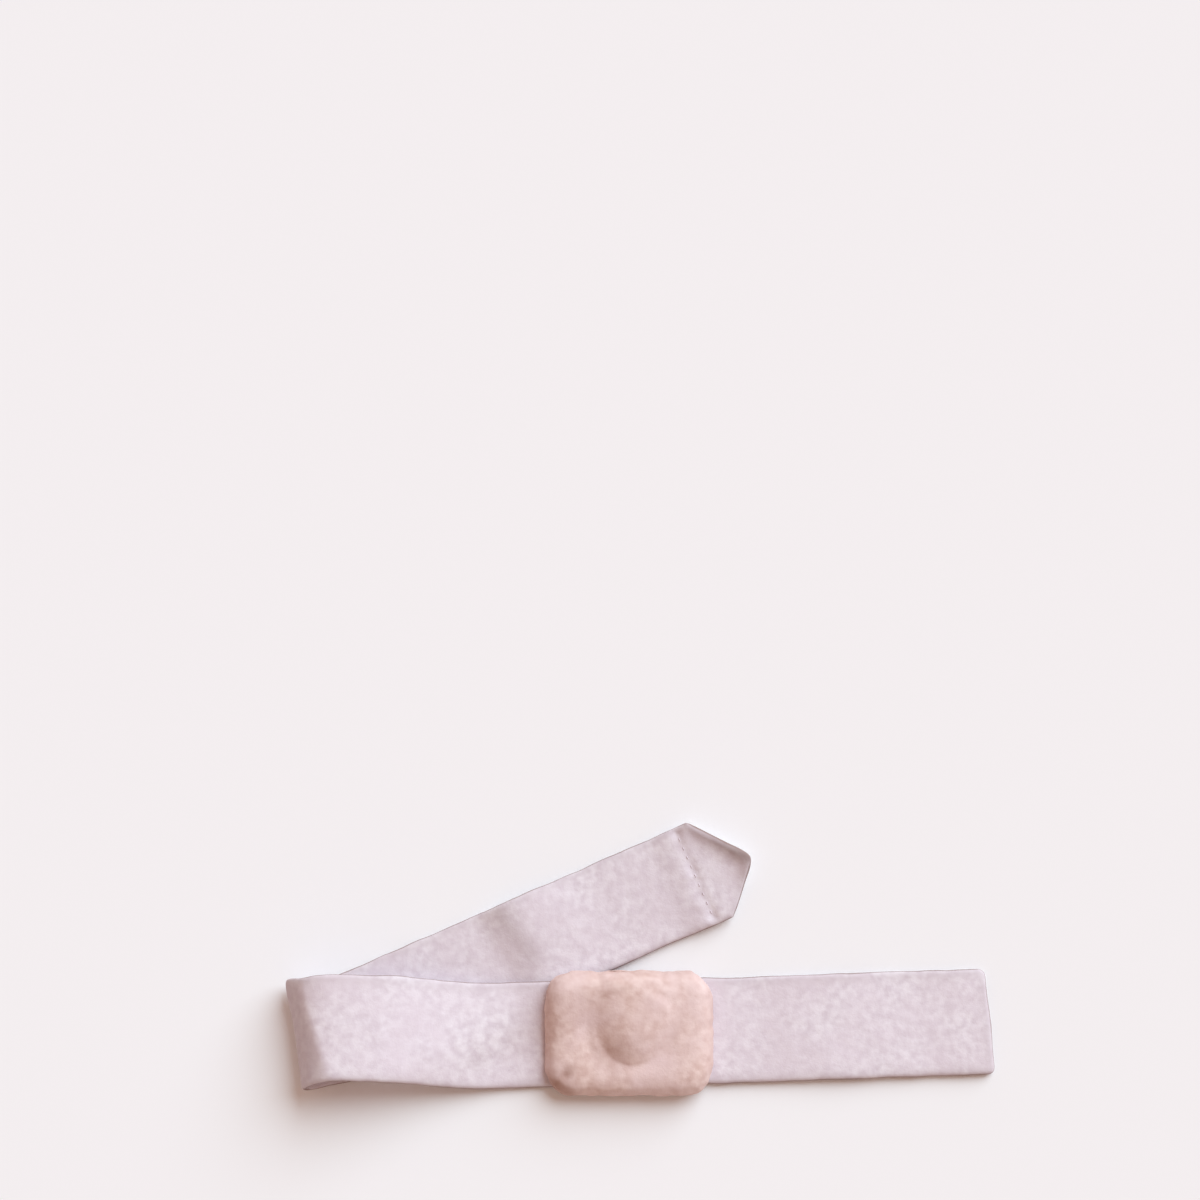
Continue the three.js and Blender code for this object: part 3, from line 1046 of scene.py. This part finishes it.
    @staticmethod
    def _corners() -> tuple[np.ndarray, np.ndarray]:
        """The lowest and the highest corner of the pad's box."""
        low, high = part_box("pad")
        return np.array(low), np.array(high)

    def _boss_middle(self) -> np.ndarray:
        """The middle of the boss's foot, seen from above."""
        low, high = self._corners()
        return (low + high)[:2] / 2 + np.array(self.boss_offset)

    def _set_boss(self, mesh: bpy.types.Mesh) -> None:
        """Shapes the button as a low cap, steep on the side away from the tail and gentle towards it.

        Args:
            mesh: The pad.
        """
        points = points_of(mesh)
        faces_up = smooth(normals_of(mesh)[:, 2], 0.2, 0.5)
        offset = points[:, :2] - self._boss_middle()
        reach = np.linalg.norm(offset, axis=1)
        gentle = 0.5 + 0.5 * np.cos(np.arctan2(offset[:, 1], offset[:, 0]) - self.gentle_turn)
        outside = self.boss_clearing * self.boss_radius
        beside = (reach > outside) & (reach < outside + self.clearing_ring) & (faces_up > 0.95)
        terms = np.column_stack([np.ones(len(points)), offset / MM, (offset / MM) ** 2])
        flat = terms @ np.linalg.lstsq(terms[beside], points[beside, 2], rcond=None)[0]
        cleared = (1 - smooth(reach, outside, outside + self.clearing_fade)) * faces_up
        points[:, 2] += (flat - points[:, 2]) * cleared
        straight = 1 - (reach / (self.boss_radius + self.boss_stretch * gentle**3)) ** 2
        foot = self.boss_foot * (1 + self.boss_foot_growth * gentle)
        cap = (straight + np.sqrt(straight**2 + foot**2)) / 2
        rise = self.boss_share * (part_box("pad")[1].z - float(np.median(points[beside, 2])))
        points[:, 2] += rise * cap * faces_up
        place_points(mesh, points)

    def _fill_near_side(self, mesh: bpy.types.Mesh) -> None:
        """Lets the side away from the tail bulge a little.

        Args:
            mesh: The pad.
        """
        points = points_of(mesh)
        low, high = self._corners()
        nearer = np.clip(((low + high)[1] / 2 - points[:, 1]) / ((high - low)[1] / 2), 0.0, 1.0)
        points[:, 1] -= self.fullness * nearer**2
        place_points(mesh, points)

    def _gather_corner(self, mesh: bpy.types.Mesh) -> None:
        """Puckers the cover where it is gathered under at the near left corner, and paints shade into the
        pucker, round the gathers, on the boss and along the far rim.

        Args:
            mesh: The pad.
        """
        points = points_of(mesh)
        normals = normals_of(mesh)
        above = smooth(normals[:, 2], -0.2, 0.3)
        corner = self._corners()[0][:2] + self.corner_radius * (1 - math.sqrt(0.5))
        pit = corner + self.pit_place
        tuck = np.array([corner + self.tuck_place, pit])
        gather = corner + np.array(self.gather_places)
        into_pit = fading(distance_to_line(points, np.array([pit, pit + MM])), self.pucker_width)
        into_tuck = fading(distance_to_line(points, tuck), 0.6 * self.pucker_width)
        sink = (self.pit_share * into_pit + self.tuck_share * into_tuck) * above
        place_points(mesh, points - normals * (self.pucker_depth * sink)[:, None])
        near = fading(distance_to_line(points, gather), self.pucker_width)
        # painted shade: in the pit and tuck, round the gathers, on the boss and along the far rim
        shade = self.sunk_shade * sink + self.gather_shade * near + self._painted_shade_shares(points) * above
        mark_shade_and_edge(mesh, np.clip(shade, 0.0, 1.0))

    def _painted_shade_shares(self, points: np.ndarray) -> np.ndarray:
        """Finds where shade is painted: on the boss's slope that faces the light, in the hollow at its foot
        on the shaded side, and along the far rim.

        Args:
            points: The pad's points.

        Returns:
            How much painted shade each point gets.
        """
        low, high = (corner[:2] for corner in self._corners())
        towards = np.array([math.cos(self.lit_slope_turn), math.sin(self.lit_slope_turn)])
        lit_slope_middle = self._boss_middle() + self.lit_slope_offset * towards
        foot = self._boss_middle() - self.foot_offset * self.boss_radius * towards
        rim = np.array([[low[0] + self.rim_start, high[1]], high, [high[0], low[1] + self.rim_start]])
        return (
            self.lit_slope_shade * fading(distance_to_place(points, lit_slope_middle), self.lit_slope_radius)
            + self.foot_shade * fading(distance_to_place(points, foot), self.foot_radius * self.boss_radius)
            + self.rim_shade * fading(distance_to_line(points, rim), self.rim_width)
        )


@dataclass
class HookPatch:
    """The fastener under the tip: hook tape cut to a point, with its hooks and its stitches."""

    tip: TipAxes
    hook_spacing: float = 1.5 * MM
    hook_height: float = 0.9 * MM
    hook_width: float = 0.22 * MM
    hook_inset: float = 2.6 * MM
    first_row: float = 1.6  # in insets, from the point to the first row of hooks
    hook_stagger: float = 0.25  # share of the spacing that each row is set off sideways
    # The hook's middle line, ahead and down in shares of its height, from inside the tape back to its face.
    hook_line: tuple[tuple[float, float], ...] = (
        (0.0, -0.3),
        (0.0, 0.18),
        (0.35, 0.3),
        (0.7, 0.18),
        (0.8, 0.0),
    )
    stitch_length: float = 1.8 * MM
    stitch_pitch: float = 3.8 * MM
    stitch_steps: int = 6
    thread_radius: float = 0.15 * MM
    thread_sides: int = 6

    def build(self, strap: bpy.types.Object) -> None:
        """Builds the tape, its hooks and the stitches over it.

        Args:
            strap: The finished strap, which the stitches lie on.
        """
        tape = copy_of_node("hook_patch", "hook_tape")
        subdivide(tape, 1)
        dress(tape, HOOK_TAPE, ["hook_patch"])
        dress(self._hooks(tape), HOOK_TAPE)
        row = self._stitches("row_stitches", strap, self.tip.inner_row(Strap.seam_inset), Face.UPPER)
        dress(row, SEWING_THREAD)
        edge = self._stitches("edge_stitches", tape, self.tip.seam(Strap.seam_inset), Face.LOWER)
        dress(edge, SEWING_THREAD)

    def _hooks(self, tape: bpy.types.Object) -> bpy.types.Object:
        """Sets rows of short hooks on the tape's lower face, each bent over at its end.

        Args:
            tape: The finished tape.

        Returns:
            The hooks as one piece.
        """
        tree = BVHTree.FromObject(tape, bpy.context.evaluated_depsgraph_get())
        hooks = ThreadBundle()
        row = 0
        back = self.hook_inset * self.first_row
        while back < self.tip.inner - self.hook_inset:
            lean = HookRow.FORWARD if row % 2 == 0 else HookRow.BACKWARD
            reach = self.tip.half * min(1.0, back / self.tip.shoulder) - self.hook_inset
            count = int(reach / self.hook_spacing)
            for step in range(-count, count + 1):
                place = self.tip.at(back, (step + self.hook_stagger * lean.value) * self.hook_spacing)
                hit = tree.ray_cast(Vector((*place, -CLEAR_OF_BELT)), Vector((0, 0, 1)))
                if hit[0] is not None:
                    hooks.add(self._hook_rings(np.array(hit[0]), lean))
            back += self.hook_spacing
            row += 1
        return hooks.piece("tape_hooks")

    def _hook_rings(self, root: np.ndarray, lean: HookRow) -> list[list[np.ndarray]]:
        """Shapes one hook as a bent square wire.

        Args:
            root: Where it leaves the tape.
            lean: Which way it leans.

        Returns:
            The rings of points along it.
        """
        side = np.array([*self.tip.side, 0.0])
        ahead = np.array([*self.tip.back, 0.0]) * lean.value
        down = np.array([0.0, 0.0, -1.0])
        half = self.hook_width / 2
        slant = (ahead + down) * 0.7  # square to the hook where it bends, and about one long
        corners = ((-1, -1), (1, -1), (1, 1), (-1, 1))
        rings = []
        for forward, drop in self.hook_line:
            middle = root + (ahead * forward + down * drop) * self.hook_height
            rings.append([middle + (side * across + slant * along) * half for across, along in corners])
        return rings

    def _stitches(self, name: str, cloth: bpy.types.Object, seam: np.ndarray, face: Face) -> bpy.types.Object:
        """Lays lock stitches on a face of a cloth.

        Args:
            name: The new piece's name.
            cloth: What they are sewn on.
            seam: The corners of their line, seen from above.
            face: Which face of the cloth they lie on.

        Returns:
            The stitches as one piece.
        """
        tree = BVHTree.FromObject(cloth, bpy.context.evaluated_depsgraph_get())
        stitches = ThreadBundle()
        for start, end in zip(seam[:-1], seam[1:]):
            run = end - start
            length = float(np.linalg.norm(run))
            count = max(1, round(length / self.stitch_pitch))
            for step in range(count):
                middle = start + run * (step + 0.5) / count
                rings = self._stitch_rings(tree, middle, run / length, face)
                if rings:
                    stitches.add(rings)
        return stitches.piece(name)

    def _stitch_rings(
        self, tree: BVHTree, middle: np.ndarray, ahead: np.ndarray, face: Face
    ) -> list[list[np.ndarray]]:
        """Shapes one stitch as a short arched thread with sunken ends.

        Args:
            tree: The cloth, to find its face with.
            middle: The stitch's middle, seen from above.
            ahead: The direction that it runs in, seen from above.
            face: Which face of the cloth it lies on.

        Returns:
            The rings of points along it, or none where it runs off the cloth.
        """
        up = np.array([0.0, 0.0, 1.0])
        side = np.cross(up, [*ahead, 0.0])
        turns = [math.tau * corner / self.thread_sides for corner in range(self.thread_sides)]
        rings = []
        for step in range(self.stitch_steps + 1):
            share = step / self.stitch_steps * 2 - 1
            place = middle + ahead * self.stitch_length / 2 * share
            outside = Vector((*place, CLEAR_OF_BELT * face.value))
            hit = tree.ray_cast(outside, Vector((0, 0, -face.value)))
            if hit[0] is None:
                return []
            rise = self.thread_radius * (0.5 - 2.0 * share**4) * face.value
            radius = self.thread_radius * math.sqrt(1 - share**4 * 0.6)
            point = np.array(hit[0]) + up * rise
            rings.append([point + radius * (side * math.cos(turn) + up * math.sin(turn)) for turn in turns])
        return rings


@dataclass
class Studio:
    """A pale floor, one large soft light from the upper right, warm fill, and the photo's camera."""

    floor_half: float = 3.0
    floor_drop: float = 0.3 * MM
    key_turn: float = math.radians(48)
    key_rise: float = math.radians(36)
    key_softness: float = math.radians(52)
    key_strength: float = 3.62
    key_hex: str = "#e1f3ff"
    fill_hex: str = "#ffdac8"
    fill_strength: float = 0.46
    camera_height: float = 1.2
    camera_aim: tuple[float, float] = (-15.1 * MM, 137.7 * MM)
    camera_lens: float = 93.85

    def build(self) -> None:
        """Builds the stage round the belt."""
        self._floor()
        self._key_light()
        self._fill_light()
        self._camera()

    def _floor(self) -> None:
        """Lays the floor just under the belt."""
        half = self.floor_half
        corners = [(-half, -half), (half, -half), (half, half), (-half, half)]
        floor = mesh_from("floor", [(x, y, -self.floor_drop) for x, y in corners], [(0, 1, 2, 3)])
        floor.data.materials.append(PALE_BOARD.make())

    def _key_light(self) -> None:
        """Sets the large soft light that shapes the folds."""
        data = bpy.data.lights.new("key", "SUN")
        data.angle = self.key_softness
        data.energy = self.key_strength
        data.color = linear(self.key_hex)[:3]
        key = bpy.data.objects.new("key", data)
        level = math.cos(self.key_rise)
        away = Vector(
            (math.cos(self.key_turn) * level, math.sin(self.key_turn) * level, math.sin(self.key_rise))
        )
        key.location = away
        key.rotation_mode = "QUATERNION"
        key.rotation_quaternion = away.to_track_quat("Z", "Y")
        bpy.context.scene.collection.objects.link(key)

    def _fill_light(self) -> None:
        """Sets the even warm light from all round."""
        world = bpy.data.worlds.new("fill")
        world.use_nodes = True
        world.node_tree.nodes.clear()
        inputs = {"Color": linear(self.fill_hex), "Strength": self.fill_strength}
        fill = add_node(world.node_tree, "ShaderNodeBackground", inputs)
        add_node(world.node_tree, "ShaderNodeOutputWorld", {"Surface": fill.outputs[0]})
        bpy.context.scene.world = world
        bpy.context.scene.view_settings.view_transform = "Standard"

    def _camera(self) -> None:
        """Hangs the camera straight above the belt, aimed so that the belt lies low in the picture."""
        data = bpy.data.cameras.new("camera")
        data.lens = self.camera_lens
        camera = bpy.data.objects.new("camera", data)
        camera.location = (0.0, 0.0, self.camera_height)
        back = (camera.location - Vector((*self.camera_aim, 0.0))).normalized()
        right = Vector((0.0, 1.0, 0.0)).cross(back).normalized()
        turned = Matrix((right, back.cross(right), back)).transposed()
        camera.rotation_mode = "QUATERNION"
        camera.rotation_quaternion = turned.to_quaternion()
        bpy.context.scene.collection.objects.link(camera)
        bpy.context.scene.camera = camera


def main() -> None:
    """Builds the belt and its stage in order."""
    logging.basicConfig(level=logging.INFO, format="%(name)s: %(message)s")
    tip = TipAxes.from_frame()
    strap = Strap(tip).build()
    Pad().build()
    HookPatch(tip).build(strap)
    Studio().build()


if __name__ == "__main__":
    main()
